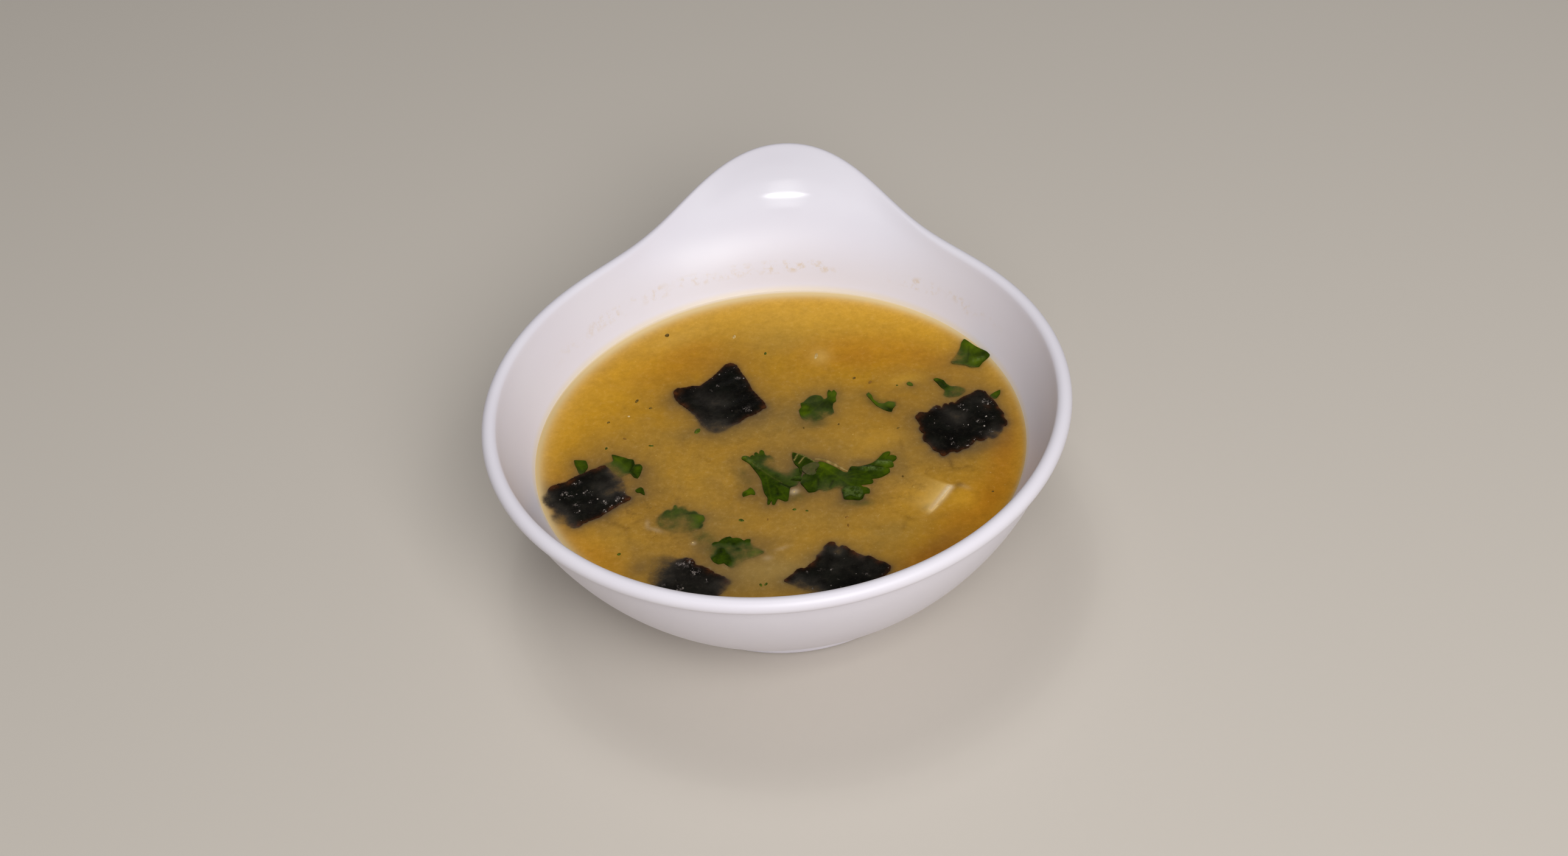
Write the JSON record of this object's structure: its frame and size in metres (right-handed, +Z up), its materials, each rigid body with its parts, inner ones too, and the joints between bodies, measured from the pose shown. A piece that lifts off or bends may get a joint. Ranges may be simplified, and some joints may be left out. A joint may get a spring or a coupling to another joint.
{
  "type": "bowl of miso soup",
  "caption": "Round handled bowl on a foot ring, filled two thirds with cloudy miso soup that carries nori squares, coriander leaves and tofu.",
  "frame": {"origin": "on the surface the bowl stands on, under the middle of the bowl and its handle together", "axes": "+Z up, +Y along the handle, +X to the right with the handle pointing away"},
  "size_m": [0.12, 0.1399, 0.0506],
  "materials": {
    "bowl_white": "gloss",
    "miso_broth": "gloss",
    "nori": "satin",
    "coriander": "satin",
    "tofu": "satin"
  },
  "bodies": {
    "root": {"bowl": "bowl_white", "soup": "miso_broth", "nori_back": "nori", "nori_right": "nori", "nori_left": "nori", "nori_front_left": "nori", "nori_front_right": "nori", "coriander_leaf_left": "coriander", "coriander_sprig": "coriander", "coriander_leaf_back": "coriander", "coriander_leaf_rim": "coriander", "coriander_leaf_right": "coriander", "coriander_leaf_side": "coriander", "coriander_leaf_sunk": "coriander", "coriander_leaf_front": "coriander", "tofu_cube": "tofu"}
  },
  "joints": []
}
